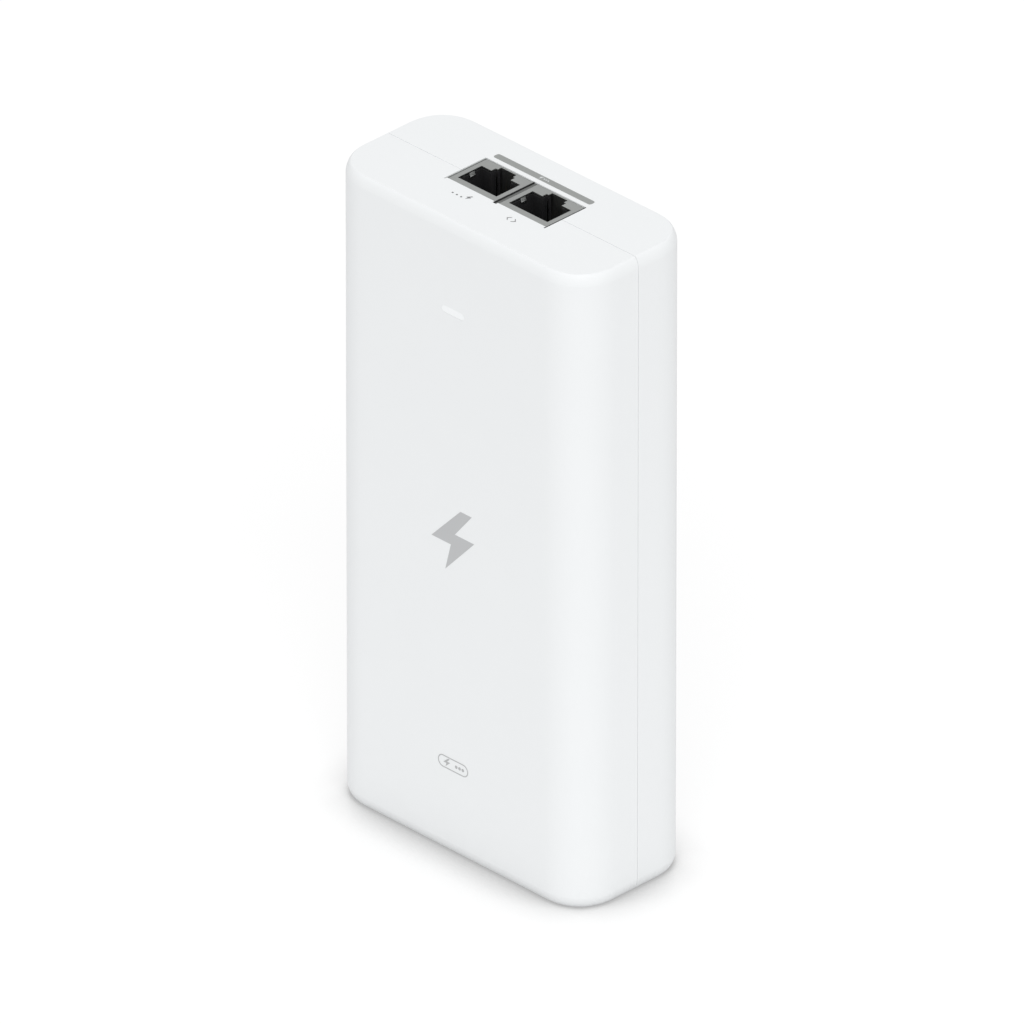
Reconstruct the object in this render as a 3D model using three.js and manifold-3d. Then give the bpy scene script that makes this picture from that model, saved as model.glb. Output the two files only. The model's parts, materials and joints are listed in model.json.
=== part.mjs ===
// A PoE injector: a slim two-part case that holds a mains supply and two shielded
// network sockets. Millimetres, +Z up. The origin is the middle of the bottom end, which
// holds the mains inlet. The sockets are in the top end, and the front faces -Y.

import * as THREE from 'three';
import { mergeVertices } from 'three/addons/utils/BufferGeometryUtils.js';
import Module from 'manifold-3d';

const wasm = await Module();
wasm.setup();

// ---- Driving dimensions ----

// Clearances
const fitGap = 0.3; // between pieces that rest on or in each other
const edgeGap = 0.25; // round the pieces that show in the case's openings
const cornerGap = 0.01; // keeps the two corners of a rounded end apart

// Case
const bodyWidth = 80;
const bodyDepth = 36.5;
const bodyHeight = 162.5;
const cornerRadius = 11.55;
const cornerPower = 2.23; // 2 is a round corner, more is squarer
const endEdgeInset = 1.22; // the rounding of the end edges, measured inwards
const endEdgeRise = 2.68; // and along the height
const sideWall = 2.2;
const endWall = 2.4;
const seamGap = 0.3; // the line where the halves meet
const tongueThickness = 0.8;
const tongueReach = 1.5; // how far the front half's tongue stands into the rear half

// Network sockets
const socketWidth = 14.9;
const socketHeight = 12.35;
const socketLength = 20.8;
const socketPairGap = 1.15;
const socketRecess = 0.2; // below the top end
const socketPairX = 0.1;
const socketPairY = 1.475;
const shieldSheet = 0.4;
const plugWidth = 12.1;
const plugHeight = 7.4;
const plugDepth = 14.5;
const plugFromFront = 1.95; // from the socket's front side to the plug opening
const latchWidth = 6.1;
const latchHeight = 1.4;
const latchTipWidth = 4.8;
const latchTipHeight = 1.1;
const contactCount = 8;
const contactPitch = 1.02;
const contactWidth = 0.45;
const contactThickness = 0.3;
const contactRise = 1.7; // how far a free contact stands into the plug opening
const contactCarrierLength = 2.0; // the block that holds the contacts at the back
const contactWell = 0.9; // the depth of the floor behind the socket's lip
const socketLip = 1.6;

// Status light
const windowWidth = 7.0;
const windowHeight = 1.75;
const windowFlange = 1.0;
const windowToSocket = 1.0; // between the window and the back of the sockets
const lightStemWidth = 3.2;
const ledWidth = 3.2;
const ledDepth = 1.1;

// Mains inlet
const inletWidth = 26.8;
const inletHeight = 19.4;
const inletLength = 19.2;
const inletRecess = 0.4; // above the bottom plane
const inletWall = 1.3;
const inletCavityDepth = 16.2;
const inletChamfer = 4.6;
const inletFlangeOverhang = 2.0;
const inletFlangeThickness = 2.0;
const pinSpacing = 14.0;
const pinOffset = 4.0; // between the earth pin and the line of the other two
const pinWidth = 2.0;
const pinHeight = 4.0;
const pinReach = 13.5; // above the cavity's floor
const tabLength = 5.5; // behind the housing

// Main board
const boardThickness = 1.6;
const boardMargin = 2.4; // from the board's side to the case's inner wall
const boardAboveTabs = 2.0;
const boardBelowEnd = 1.5;
const boardEdgeToScrew = 4.2;
const isolationSlotWidth = 2.0;
const padFromEdge = 2.6;
const leadRadius = 0.85;

// Board screws and the posts that they go into
const screwRadius = 1.2;
const screwHeadRadius = 2.5;
const screwHeadHeight = 1.7;
const screwBite = 3.0; // the length of a screw inside its post
const postRadius = 3.0;

// Insulation and label
const sheetThickness = 0.4;
const sheetBehindBoard = 1.2;
const labelWidth = 46;
const labelHeight = 62;
const labelThickness = 0.35;
const labelCornerRadius = 2.5;
const labelSink = 0.05; // below the back face

// Parts on the board, each as width along X, length along Z and height off the board
const fuse = { width: 8.4, length: 4.2, height: 7.6, chamfer: 0.6 };
const varistor = { width: 4.6, length: 9.0, height: 11.0 };
const filmCapacitor = { width: 17.5, length: 8.5, height: 14.0 };
const bridge = { width: 3.6, length: 19.0, height: 11.0, chamfer: 0.8 };
const choke = { radius: 9.6, hole: 4.6, height: 9.0, wire: 1.2, split: 40 };
const bulkCapacitor = { radius: 8.0, length: 26.0, crimp: 0.6, crimpFromEnd: 3.2 };
const primarySink = { length: 25.0, height: 19.0, thickness: 2.0, foot: 5.0 };
const transistor = {
  width: 4.4, length: 10.0, height: 15.5, tab: 1.3, body: 9.2, legs: 3.5, pitch: 2.54,
};
const transformer = { width: 26.0, length: 20.0, leg: 7.0, yoke: 2.5, coilRoom: 3.5, flange: 0.8 };
const optocoupler = { width: 6.4, length: 4.6, height: 3.6, chamfer: 0.4 };
const controllerChip = { width: 4.0, length: 5.0, height: 1.5, chamfer: 0.3 };
const safetyCapacitor = { width: 4.0, length: 8.0, height: 10.0 };
const outputSink = { length: 12.0, height: 18.0, thickness: 2.0, foot: 5.0 };
const outputCapacitor = { radius: 4.0, height: 15.0, crimp: 0.4, crimpFromEnd: 2.0 };
const outputCapacitorCount = 3;
const outputChoke = { radius: 5.6, height: 9.0, flange: 1.6, waist: 4.2 };
const lanTransformer = { width: 15.0, length: 7.6, height: 5.8, chamfer: 0.6 };
const supplyChip = { width: 7.0, length: 7.0, height: 0.9, chamfer: 0.2 };
const wireLegWidth = 0.7; // the legs of the parts that stand on wires
const boardMarginToParts = 3.0; // from the board's side edge to the first part
const rowStart = 6.0; // from the board's lower edge to the first row

// ---- Places worked out from those sizes ----

// Half of the width inside the case at a depth, which is less beside the round corners.
function innerHalfWidth(y) {
  const radius = cornerRadius - sideWall;
  const past = Math.max(0, Math.abs(y) - (bodyDepth / 2 - cornerRadius));
  const dx = radius * (1 - (past / radius) ** cornerPower) ** (1 / cornerPower);
  return bodyWidth / 2 - cornerRadius + dx;
}

const frontY = -bodyDepth / 2;
const rearY = bodyDepth / 2;
const innerFrontY = frontY + sideWall;
const innerRearY = rearY - sideWall;

const socketSpacing = socketWidth + socketPairGap;
const socketTopZ = bodyHeight - socketRecess;
const socketBackZ = socketTopZ - socketLength;
const socketFrontY = socketPairY - socketHeight / 2;
const socketRearY = socketPairY + socketHeight / 2;
const plugFloorY = socketFrontY + plugFromFront;
const plugRoofY = plugFloorY + plugHeight;

const windowZ = socketBackZ - windowToSocket - windowHeight / 2;

const inletCavityTopZ = inletRecess + inletCavityDepth;
const inletTopZ = inletRecess + inletLength;
const tabTopZ = inletTopZ + tabLength;

const boardFrontY = socketRearY + fitGap;
const boardRearY = boardFrontY + boardThickness;
const boardHalfWidth = innerHalfWidth(boardRearY) - boardMargin;
const boardBottomZ = tabTopZ + boardAboveTabs;
const boardTopZ = bodyHeight - endWall - boardBelowEnd;
const seatY = boardFrontY - fitGap; // where the parts on the board begin
const sheetFrontY = boardRearY + sheetBehindBoard;
const sheetRearY = sheetFrontY + sheetThickness;
const coreHalfHeight = transformer.leg / 2 + transformer.coilRoom + transformer.yoke;
const coreMiddleY = seatY - coreHalfHeight;
const coilHalfLength = transformer.width / 2 - transformer.yoke - fitGap - transformer.flange;
const sheetHalfWidth = Math.min(boardHalfWidth, innerHalfWidth(sheetRearY) - fitGap);

// ---- Solids ----

function solidOf(geometry) {
  const bare = geometry.clone();
  bare.deleteAttribute('normal');
  bare.deleteAttribute('uv');
  const merged = mergeVertices(bare, 1e-5);
  return new wasm.Manifold(new wasm.Mesh({
    numProp: 3,
    vertProperties: Float32Array.from(merged.attributes.position.array),
    triVerts: Uint32Array.from(merged.index.array),
  }));
}

function geometryOf(solid) {
  const mesh = solid.getMesh();
  const geometry = new THREE.BufferGeometry();
  geometry.setAttribute('position', new THREE.BufferAttribute(mesh.vertProperties, 3));
  geometry.setIndex(new THREE.BufferAttribute(mesh.triVerts, 1));
  geometry.computeVertexNormals();
  return geometry;
}

function join(first, ...others) {
  return geometryOf(others.reduce((whole, other) => whole.add(solidOf(other)), solidOf(first)));
}

function cut(first, ...tools) {
  return geometryOf(tools.reduce((rest, tool) => rest.subtract(solidOf(tool)), solidOf(first)));
}

function common(first, second) {
  return geometryOf(solidOf(first).intersect(solidOf(second)));
}

function block(x0, x1, y0, y1, z0, z1) {
  const geometry = new THREE.BoxGeometry(x1 - x0, y1 - y0, z1 - z0);
  return geometry.translate((x0 + x1) / 2, (y0 + y1) / 2, (z0 + z1) / 2);
}

// A block that stands on the board, by its middle, width, length and height.
function onBoard(x, z, { width, length, height }, foot = 0) {
  return block(
    x - width / 2, x + width / 2, seatY - foot - height, seatY - foot, z - length / 2, z + length / 2,
  );
}

function rodAlongY(radius, y0, y1, x, z, sides = 20) {
  const geometry = new THREE.CylinderGeometry(radius, radius, y1 - y0, sides);
  return geometry.translate(x, (y0 + y1) / 2, z);
}

// A solid turned about the Y axis, from a profile of [radius, y] points.
function turnedAlongY(profile, x, z, sides = 20) {
  const points = profile.map(([radius, y]) => new THREE.Vector2(radius, y));
  return new THREE.LatheGeometry(points, sides).translate(x, 0, z);
}

function extrudeAlongZ(shape, z0, z1, curveSegments = 6) {
  const geometry = new THREE.ExtrudeGeometry(shape, { depth: z1 - z0, bevelEnabled: false, curveSegments });
  return geometry.translate(0, 0, z0);
}

// Extrudes an outline drawn in X and Z from y0 to y1.
function extrudeAlongY(shape, y0, y1, curveSegments = 6) {
  const geometry = new THREE.ExtrudeGeometry(shape, { depth: y1 - y0, bevelEnabled: false, curveSegments });
  return geometry.rotateX(Math.PI / 2).translate(0, y1, 0);
}

// Extrudes an outline drawn in Y and Z from x0 to x1.
function extrudeAlongX(shape, x0, x1) {
  const geometry = new THREE.ExtrudeGeometry(shape, { depth: x1 - x0, bevelEnabled: false });
  return geometry.rotateX(Math.PI / 2).rotateZ(Math.PI / 2).translate(x0, 0, 0);
}

function polygon(points) {
  return new THREE.Shape(points.map(([u, v]) => new THREE.Vector2(u, v)));
}

function roundedRectangle(width, height, radius, u = 0, v = 0) {
  const shape = new THREE.Shape();
  const [a, b] = [width / 2 - radius, height / 2 - radius];
  shape.absarc(u + a, v + b, radius, 0, Math.PI / 2);
  shape.absarc(u - a, v + b, radius, Math.PI / 2, Math.PI);
  shape.absarc(u - a, v - b, radius, Math.PI, Math.PI * 1.5);
  shape.absarc(u + a, v - b, radius, Math.PI * 1.5, Math.PI * 2);
  return shape;
}

// The middles of things of these sizes, spread evenly between start and end.
function spread(sizes, start, end) {
  const gap = (end - start - sizes.reduce((sum, size) => sum + size, 0)) / (sizes.length + 1);
  let edge = start;
  return sizes.map((size) => {
    const middle = edge + gap + size / 2;
    edge += gap + size;
    return middle;
  });
}

// ---- Case ----

// The case's outline seen from above, drawn in by inset, with squarish corners.
function caseOutline(inset) {
  const radius = cornerRadius - inset;
  const [a, b] = [bodyWidth / 2 - cornerRadius, bodyDepth / 2 - cornerRadius];
  const stepsPerCorner = 8;
  const points = [];
  for (const [quarter, [sx, sy]] of [[1, 1], [-1, 1], [-1, -1], [1, -1]].entries()) {
    for (let step = 0; step <= stepsPerCorner; step += 1) {
      const turn = (quarter % 2 ? stepsPerCorner - step : step) / stepsPerCorner;
      const angle = turn * Math.PI / 2;
      const dx = radius * Math.cos(angle) ** (2 / cornerPower);
      const dy = radius * Math.sin(angle) ** (2 / cornerPower);
      points.push([sx * (a + dx), sy * (b + dy)]);
    }
  }
  return polygon(points);
}

function caseOuter() {
  const geometry = new THREE.ExtrudeGeometry(caseOutline(0), {
    depth: bodyHeight - 2 * endEdgeRise,
    bevelThickness: endEdgeRise,
    bevelSize: endEdgeInset,
    bevelOffset: -endEdgeInset,
    bevelSegments: 4,
  });
  return geometry.translate(0, 0, endEdgeRise);
}

// The space inside the case, grown outwards by extra.
function caseInside(extra = 0) {
  const floor = endWall - extra;
  return extrudeAlongZ(caseOutline(sideWall - extra), floor, bodyHeight - floor);
}

// The slab of space between two depths, wider and taller than the case.
function slab(y0, y1) {
  return block(-bodyWidth, bodyWidth, y0, y1, -bodyHeight, 2 * bodyHeight);
}

function socketOpening() {
  const halfWidth = (socketSpacing + socketWidth) / 2 + edgeGap;
  return block(
    socketPairX - halfWidth, socketPairX + halfWidth,
    socketFrontY - edgeGap, socketRearY + edgeGap,
    bodyHeight - 2 * endWall, bodyHeight + endWall,
  );
}

function inletOpening() {
  return extrudeAlongZ(inletOutline(edgeGap), -endWall, 2 * endWall);
}

function frontShell() {
  const walls = common(cut(caseOuter(), caseInside()), slab(-bodyDepth, -seamGap / 2));
  const tongue = common(
    cut(caseInside(tongueThickness), caseInside()),
    slab(-tongueReach, tongueReach),
  );
  const window = extrudeAlongY(
    roundedRectangle(windowWidth + 2 * edgeGap, windowHeight + 2 * edgeGap,
      windowHeight / 2 + edgeGap - cornerGap, 0, windowZ),
    frontY - sideWall, innerFrontY + sideWall,
  );
  return cut(join(walls, tongue), socketOpening(), inletOpening(), window);
}

function screwPlaces() {
  const x = boardHalfWidth - boardEdgeToScrew;
  const [low, high] = [boardBottomZ + boardEdgeToScrew, boardTopZ - boardEdgeToScrew];
  return [[-x, low], [x, low], [-x, high], [x, high]];
}

function rearShell() {
  const walls = common(cut(caseOuter(), caseInside()), slab(seamGap / 2, bodyDepth));
  const rebate = common(caseInside(tongueThickness + fitGap), slab(-bodyDepth, tongueReach + fitGap));
  const posts = screwPlaces().map(([x, z]) => cut(
    rodAlongY(postRadius, boardRearY + fitGap, innerRearY + sideWall / 2, x, z),
    rodAlongY(screwRadius + fitGap, boardRearY, boardRearY + screwBite + 2 * fitGap, x, z, 12),
  ));
  const labelPocket = extrudeAlongY(
    roundedRectangle(labelWidth + 2 * fitGap, labelHeight + 2 * fitGap, labelCornerRadius + fitGap,
      0, bodyHeight / 2),
    rearY - labelSink - labelThickness - fitGap, rearY + sideWall,
  );
  return join(cut(walls, rebate, socketOpening(), inletOpening(), labelPocket), ...posts);
}

function ratingLabel() {
  const outline = roundedRectangle(labelWidth, labelHeight, labelCornerRadius, 0, bodyHeight / 2);
  return extrudeAlongY(outline, rearY - labelSink - labelThickness, rearY - labelSink);
}

// ---- Network sockets ----

// The plug opening with its two-step latch notch, grown by extra on every side.
function plugOutline(x, extra = 0) {
  const half = [plugWidth, latchWidth, latchTipWidth].map((width) => width / 2 + extra);
  const stepY = plugRoofY + latchHeight + extra;
  const tipY = stepY + latchTipHeight;
  return polygon([
    [x - half[0], plugFloorY - extra], [x + half[0], plugFloorY - extra],
    [x + half[0], plugRoofY + extra], [x + half[1], plugRoofY + extra],
    [x + half[1], stepY], [x + half[2], stepY], [x + half[2], tipY],
    [x - half[2], tipY], [x - half[2], stepY], [x - half[1], stepY],
    [x - half[1], plugRoofY + extra], [x - half[0], plugRoofY + extra],
  ]);
}

// A block inside the socket's outline, drawn in by inset.
function socketBlock(x, inset, z0, z1) {
  const half = socketWidth / 2 - inset;
  return block(x - half, x + half, socketFrontY + inset, socketRearY - inset, z0, z1);
}

function socketShield(x) {
  return cut(
    socketBlock(x, 0, socketBackZ, socketTopZ),
    socketBlock(x, shieldSheet, socketBackZ - 1, socketTopZ - shieldSheet),
    extrudeAlongZ(plugOutline(x), socketBackZ, socketTopZ + 1),
  );
}

// The space round the contacts: the sunk floor behind the lip, and the way to the carrier.
function contactSpace(x, extra) {
  const half = (contactCount - 1) * contactPitch / 2 + contactWidth / 2 + fitGap + extra;
  return block(
    x - half, x + half, plugFloorY - contactWell, plugFloorY + contactRise,
    socketBackZ + shieldSheet - extra, socketTopZ - shieldSheet - fitGap - socketLip,
  );
}

function socketHousing(x) {
  const faceZ = socketTopZ - shieldSheet - fitGap;
  return cut(
    socketBlock(x, shieldSheet + fitGap, socketBackZ, faceZ),
    extrudeAlongZ(plugOutline(x), faceZ - plugDepth, faceZ + 1),
    contactSpace(x, 1),
  );
}

// The side view of one contact: along the sunk floor, round a bend behind the lip, and
// back up into the opening as a free spring.
function contactOutline(tailZ) {
  const floorY = plugFloorY - contactWell + fitGap;
  const bendZ = socketTopZ - shieldSheet - 2 * fitGap - socketLip;
  const tipZ = bendZ - plugDepth / 2;
  const tipY = plugFloorY + contactRise - fitGap;
  const t = contactThickness;
  return polygon([
    [floorY, tailZ], [floorY, bendZ], [floorY + 2 * t, bendZ], [tipY, tipZ],
    [tipY - t, tipZ], [floorY + 1.6 * t, bendZ - 1.5 * t],
    [floorY + t, bendZ - 1.5 * t], [floorY + t, tailZ],
  ]);
}

function socketContacts(x) {
  const carrierZ = socketBackZ + shieldSheet + fitGap;
  const reach = (contactCount - 1) * contactPitch / 2;
  const floorY = plugFloorY - contactWell + fitGap;
  const carrier = block(
    x - reach - contactWidth / 2, x + reach + contactWidth / 2,
    floorY, plugFloorY + contactRise - fitGap, carrierZ, carrierZ + contactCarrierLength,
  );
  const wires = Array.from({ length: contactCount }, (_, n) => {
    const middle = x - reach + n * contactPitch;
    return extrudeAlongX(
      contactOutline(carrierZ + contactCarrierLength / 2),
      middle - contactWidth / 2, middle + contactWidth / 2,
    );
  });
  return join(carrier, ...wires);
}

// ---- Status light ----

function lightPipe() {
  const pill = (grow, y0, y1) => extrudeAlongY(
    roundedRectangle(windowWidth + 2 * grow, windowHeight + 2 * grow,
      windowHeight / 2 + grow - cornerGap, 0, windowZ),
    y0, y1,
  );
  const flangeY = innerFrontY + fitGap;
  const flangeGrow = (windowToSocket - fitGap) / 2 + edgeGap;
  const stem = block(
    -lightStemWidth / 2, lightStemWidth / 2, flangeY, seatY - ledDepth - fitGap,
    windowZ - windowHeight / 2, windowZ + windowHeight / 2,
  );
  return join(
    pill(0, frontY, flangeY + windowFlange / 2),
    pill(flangeGrow, flangeY, flangeY + windowFlange),
    stem,
  );
}

function statusLed() {
  return onBoard(0, windowZ, { width: ledWidth, length: windowHeight, height: ledDepth });
}

// ---- Mains inlet ----

// The inlet's outline with its two cut corners on the earth pin's side, grown by extra.
function inletOutline(extra) {
  const [a, b] = [inletWidth / 2 + extra, inletHeight / 2 + extra];
  const c = inletChamfer + extra * (2 - Math.SQRT2);
  return polygon([[a, b], [-a, b], [-a, -b + c], [-a + c, -b], [a - c, -b], [a, -b + c]]);
}

function pinPlaces() {
  return {
    line: [-pinSpacing / 2, pinOffset / 2],
    neutral: [pinSpacing / 2, pinOffset / 2],
    earth: [0, -pinOffset / 2],
  };
}

function pinBlock([x, y], grow, z0, z1) {
  const [a, b] = [pinWidth / 2 + grow, pinHeight / 2 + grow];
  return block(x - a, x + a, y - b, y + b, z0, z1);
}

function inletHousing() {
  const flangeZ = endWall + fitGap;
  const flange = extrudeAlongZ(inletOutline(inletFlangeOverhang), flangeZ, flangeZ + inletFlangeThickness);
  const body = join(extrudeAlongZ(inletOutline(0), inletRecess, inletTopZ), flange);
  const cavity = extrudeAlongZ(inletOutline(-inletWall), inletRecess - 1, inletCavityTopZ);
  const places = Object.values(pinPlaces());
  const slots = places.map((place) => pinBlock(place, fitGap, inletRecess, inletTopZ + 1));
  return cut(body, cavity, ...slots);
}

function inletPin(place) {
  return pinBlock(place, 0, inletCavityTopZ - pinReach, tabTopZ);
}

// A lead runs up from its tab, turns back over the board's lower edge, and ends on its pad.
function lead([x, y]) {
  const padZ = boardBottomZ + padFromEdge;
  const endY = boardFrontY - fitGap;
  const path = new THREE.CatmullRomCurve3([
    new THREE.Vector3(x, y, tabTopZ + fitGap),
    new THREE.Vector3(x, y, (tabTopZ + padZ) / 2 + leadRadius),
    new THREE.Vector3(x, (y + endY) / 2, padZ),
    new THREE.Vector3(x, endY, padZ),
  ]);
  const section = new THREE.Shape();
  section.absarc(0, 0, leadRadius, 0, Math.PI * 2);
  return new THREE.ExtrudeGeometry(section, { steps: 8, extrudePath: path, curveSegments: 8 });
}

// ---- Board and its fixings ----

function mainBoard() {
  const plate = block(-boardHalfWidth, boardHalfWidth, boardFrontY, boardRearY, boardBottomZ, boardTopZ);
  const holes = screwPlaces().map(([x, z]) => rodAlongY(
    screwRadius + fitGap, boardFrontY - 1, boardRearY + 1, x, z, 12,
  ));
  const place = partPlaces();
  const slotZ = place.transformer[1];
  const slot = block(
    place.optocoupler[0] - isolationSlotWidth / 2, place.optocoupler[0] + isolationSlotWidth / 2,
    boardFrontY - 1, boardRearY + 1,
    slotZ - transformer.length / 2, slotZ + transformer.length / 2,
  );
  return cut(plate, slot, ...holes);
}

function boardScrew([x, z]) {
  const shaftEnd = boardRearY + fitGap + screwBite;
  return turnedAlongY([
    [0, shaftEnd], [screwRadius * 0.5, shaftEnd], [screwRadius, shaftEnd - screwRadius],
    [screwRadius, seatY], [screwHeadRadius, seatY], [screwHeadRadius, seatY - screwHeadHeight * 0.5],
    [screwHeadRadius * 0.7, seatY - screwHeadHeight], [0, seatY - screwHeadHeight],
  ].reverse(), x, z, 16);
}

function insulationSheet() {
  const plate = block(-sheetHalfWidth, sheetHalfWidth, sheetFrontY, sheetRearY, boardBottomZ, boardTopZ);
  const holes = screwPlaces().map(([x, z]) => rodAlongY(
    postRadius + fitGap, sheetFrontY - 1, sheetRearY + 1, x, z,
  ));
  return cut(plate, ...holes);
}

// Every part's [x, z] on the board, in rows from the inlet up to the sockets.
function partPlaces() {
  const rowLengths = [
    filmCapacitor.length, bulkCapacitor.length, transformer.length, outputSink.length, lanTransformer.length,
  ];
  const rowZ = spread(rowLengths, boardBottomZ + rowStart, windowZ - windowHeight);
  const side = boardHalfWidth - boardMarginToParts;
  const sinkWidth = primarySink.thickness + primarySink.foot;
  const rows = [
    [['fuse', fuse.width], ['varistor', varistor.width], ['film_capacitor', filmCapacitor.width]],
    [['choke', 2 * (choke.radius + choke.wire)], ['bulk_capacitor', 2 * bulkCapacitor.radius],
      ['bridge', bridge.width], ['primary_sink', sinkWidth]],
    [['safety_capacitor', safetyCapacitor.width], ['transformer', transformer.width],
      ['optocoupler', optocoupler.width], ['controller', controllerChip.width]],
    [...Array.from({ length: outputCapacitorCount }, (_, n) => [`output_${n}`, 2 * outputCapacitor.radius]),
      ['output_choke', 2 * outputChoke.radius], ['output_sink', sinkWidth]],
    [['lan_poe', lanTransformer.width], ['lan_data', lanTransformer.width], ['supply', supplyChip.width]],
  ];
  const places = {};
  rows.forEach((row, n) => {
    const middles = spread(row.map(([, width]) => width), -side, side);
    row.forEach(([name], k) => {
      places[name] = [middles[k], rowZ[n]];
    });
  });
  return places;
}

// ---- Parts on the board ----

// A block with its top long edges cut off.
function chamferedBlock([x, z], { width, length, height, chamfer }) {
  const [a, top] = [width / 2, seatY - height];
  return extrudeAlongZ(polygon([
    [x - a, seatY], [x - a, top + chamfer], [x - a + chamfer, top],
    [x + a - chamfer, top], [x + a, top + chamfer], [x + a, seatY],
  ].reverse()), z - length / 2, z + length / 2);
}

// A flat round-topped body that stands on two short legs.
function discOnLegs([x, z], { width, length, height }) {
  const radius = length / 2;
  const middleY = seatY - height + radius;
  const disc = new THREE.CylinderGeometry(radius, radius, width, 24).rotateZ(Math.PI / 2);
  const half = wireLegWidth / 2;
  const legs = [-1, 1].map((side) => z + side * radius / 2).map((legZ) => block(
    x - half, x + half, middleY, seatY, legZ - half, legZ + half,
  ));
  return join(disc.translate(x, middleY, z), ...legs);
}

function lyingCapacitor([x, z]) {
  const { radius, length, crimp, crimpFromEnd } = bulkCapacitor;
  const half = length / 2;
  const crimpZ = half - crimpFromEnd;
  const profile = [
    [0, -half], [radius - crimp, -half], [radius, -half + crimp], [radius, crimpZ - crimp],
    [radius - crimp, crimpZ], [radius, crimpZ + crimp],
    [radius, half - crimp], [radius - crimp, half], [0, half],
  ].map(([r, along]) => new THREE.Vector2(r, along));
  return new THREE.LatheGeometry(profile, 28).rotateX(Math.PI / 2).translate(x, seatY - radius, z);
}

function standingCapacitor([x, z]) {
  const { radius, height, crimp, crimpFromEnd } = outputCapacitor;
  const crimpY = seatY - crimpFromEnd;
  return turnedAlongY([
    [0, seatY - height], [radius - crimp, seatY - height], [radius, seatY - height + crimp],
    [radius, crimpY - crimp], [radius - crimp, crimpY], [radius, crimpY + crimp],
    [radius, seatY], [0, seatY],
  ], x, z);
}

function chokeRing([x, z], grow) {
  const [inner, outer] = [choke.hole - grow, choke.radius + grow - choke.wire];
  const [y0, y1] = [seatY - choke.height - grow + choke.wire, seatY + grow - choke.wire];
  return turnedAlongY([[inner, y0], [outer, y0], [outer, y1], [inner, y1], [inner, y0]], x, z, 28);
}

function chokeWinding(place, side) {
  const [x, z] = place;
  const layer = choke.wire - fitGap;
  const hollow = cut(chokeRing(place, choke.wire), chokeRing(place, choke.wire - layer));
  const reach = choke.radius * Math.cos(THREE.MathUtils.degToRad(choke.split));
  const near = choke.hole * Math.sin(THREE.MathUtils.degToRad(choke.split)) / 2;
  const part = side < 0
    ? block(x - 2 * choke.radius, x - near, -bodyDepth, bodyDepth, z - reach, z + reach)
    : block(x + near, x + 2 * choke.radius, -bodyDepth, bodyDepth, z - reach, z + reach);
  return common(hollow, part);
}

// An L-shaped plate of aluminium, with its foot towards the middle of the board.
function heatSink([x, z], { length, height, thickness, foot }) {
  const right = x + (thickness + foot) / 2;
  const z0 = z - length / 2;
  const plate = block(right - thickness, right, seatY - height, seatY, z0, z + length / 2);
  const ledge = block(
    right - thickness - foot, right - thickness / 2,
    seatY - height, seatY - height + thickness, z0, z + length / 2,
  );
  return join(plate, ledge);
}

// A three-legged power part that lies against its heat sink's plate.
function powerPart([x, z], sink) {
  const right = x + (sink.thickness + sink.foot) / 2 - sink.thickness - fitGap;
  const bodyLength = transistor.length / 2;
  const top = seatY - transistor.height;
  const bodyY = seatY - transistor.legs;
  const tab = block(right - transistor.tab, right, top, bodyY, z - bodyLength, z + bodyLength);
  const body = block(
    right - transistor.width, right, bodyY - transistor.body, bodyY, z - bodyLength, z + bodyLength,
  );
  const half = wireLegWidth / 2;
  const legX = right - transistor.width / 2;
  const legs = [-1, 0, 1].map((n) => z + n * transistor.pitch).map((legZ) => block(
    legX - half, legX + half, bodyY - half, seatY, legZ - half, legZ + half,
  ));
  return join(tab, body, ...legs);
}

// The transformer's middle leg, coil and bobbin run along X.
function transformerCore([x, z]) {
  const { width, length, leg, yoke, coilRoom } = transformer;
  const windowX = width / 2 - yoke;
  const outer = block(
    x - width / 2, x + width / 2, coreMiddleY - coreHalfHeight, coreMiddleY + coreHalfHeight,
    z - length / 4, z + length / 4,
  );
  const windows = [coreMiddleY - leg / 2 - coilRoom, coreMiddleY + leg / 2].map((y) => block(
    x - windowX, x + windowX, y, y + coilRoom, z - length, z + length,
  ));
  return cut(outer, ...windows);
}

// A rectangular tube round the transformer's middle leg.
function legTube([x, z], inner, outer, halfLength) {
  const { length, leg } = transformer;
  const ring = (grow, half) => block(
    x - half, x + half, coreMiddleY - leg / 2 - grow, coreMiddleY + leg / 2 + grow,
    z - length / 4 - grow, z + length / 4 + grow,
  );
  return cut(ring(outer, halfLength), ring(inner, halfLength + 1));
}

// A tube round the leg with a flange at each end, as deep as the core's windows let it be.
function transformerBobbin([x, z]) {
  const { flange, coilRoom } = transformer;
  const tube = legTube([x, z], fitGap, fitGap + flange, coilHalfLength + flange);
  const ends = [-1, 1].map((side) => legTube(
    [x + side * (coilHalfLength + flange / 2), z], fitGap, coilRoom - fitGap, flange / 2,
  ));
  return join(tube, ...ends);
}

function transformerWinding(place) {
  const { flange, coilRoom } = transformer;
  return legTube(place, 2 * fitGap + flange, coilRoom - 2 * fitGap, coilHalfLength - fitGap);
}

function drumChoke([x, z]) {
  const { radius, height, flange, waist } = outputChoke;
  const top = seatY - height;
  return turnedAlongY([
    [0, top], [radius, top], [radius, top + flange], [waist, top + flange],
    [waist, seatY - flange], [radius, seatY - flange], [radius, seatY], [0, seatY],
  ], x, z, 24);
}

// ---- Assembly ----

const injector = new THREE.Group();

function addPiece(name, geometry, color, roughness, metalness = 0) {
  const piece = new THREE.Mesh(geometry, new THREE.MeshStandardMaterial({ color, roughness, metalness }));
  piece.name = name;
  injector.add(piece);
}

function addCase() {
  addPiece('front_shell', frontShell(), 0xf1f2f3, 0.38);
  addPiece('rear_shell', rearShell(), 0xf1f2f3, 0.38);
  addPiece('rating_label', ratingLabel(), 0xe4e5e6, 0.55);
}

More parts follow.
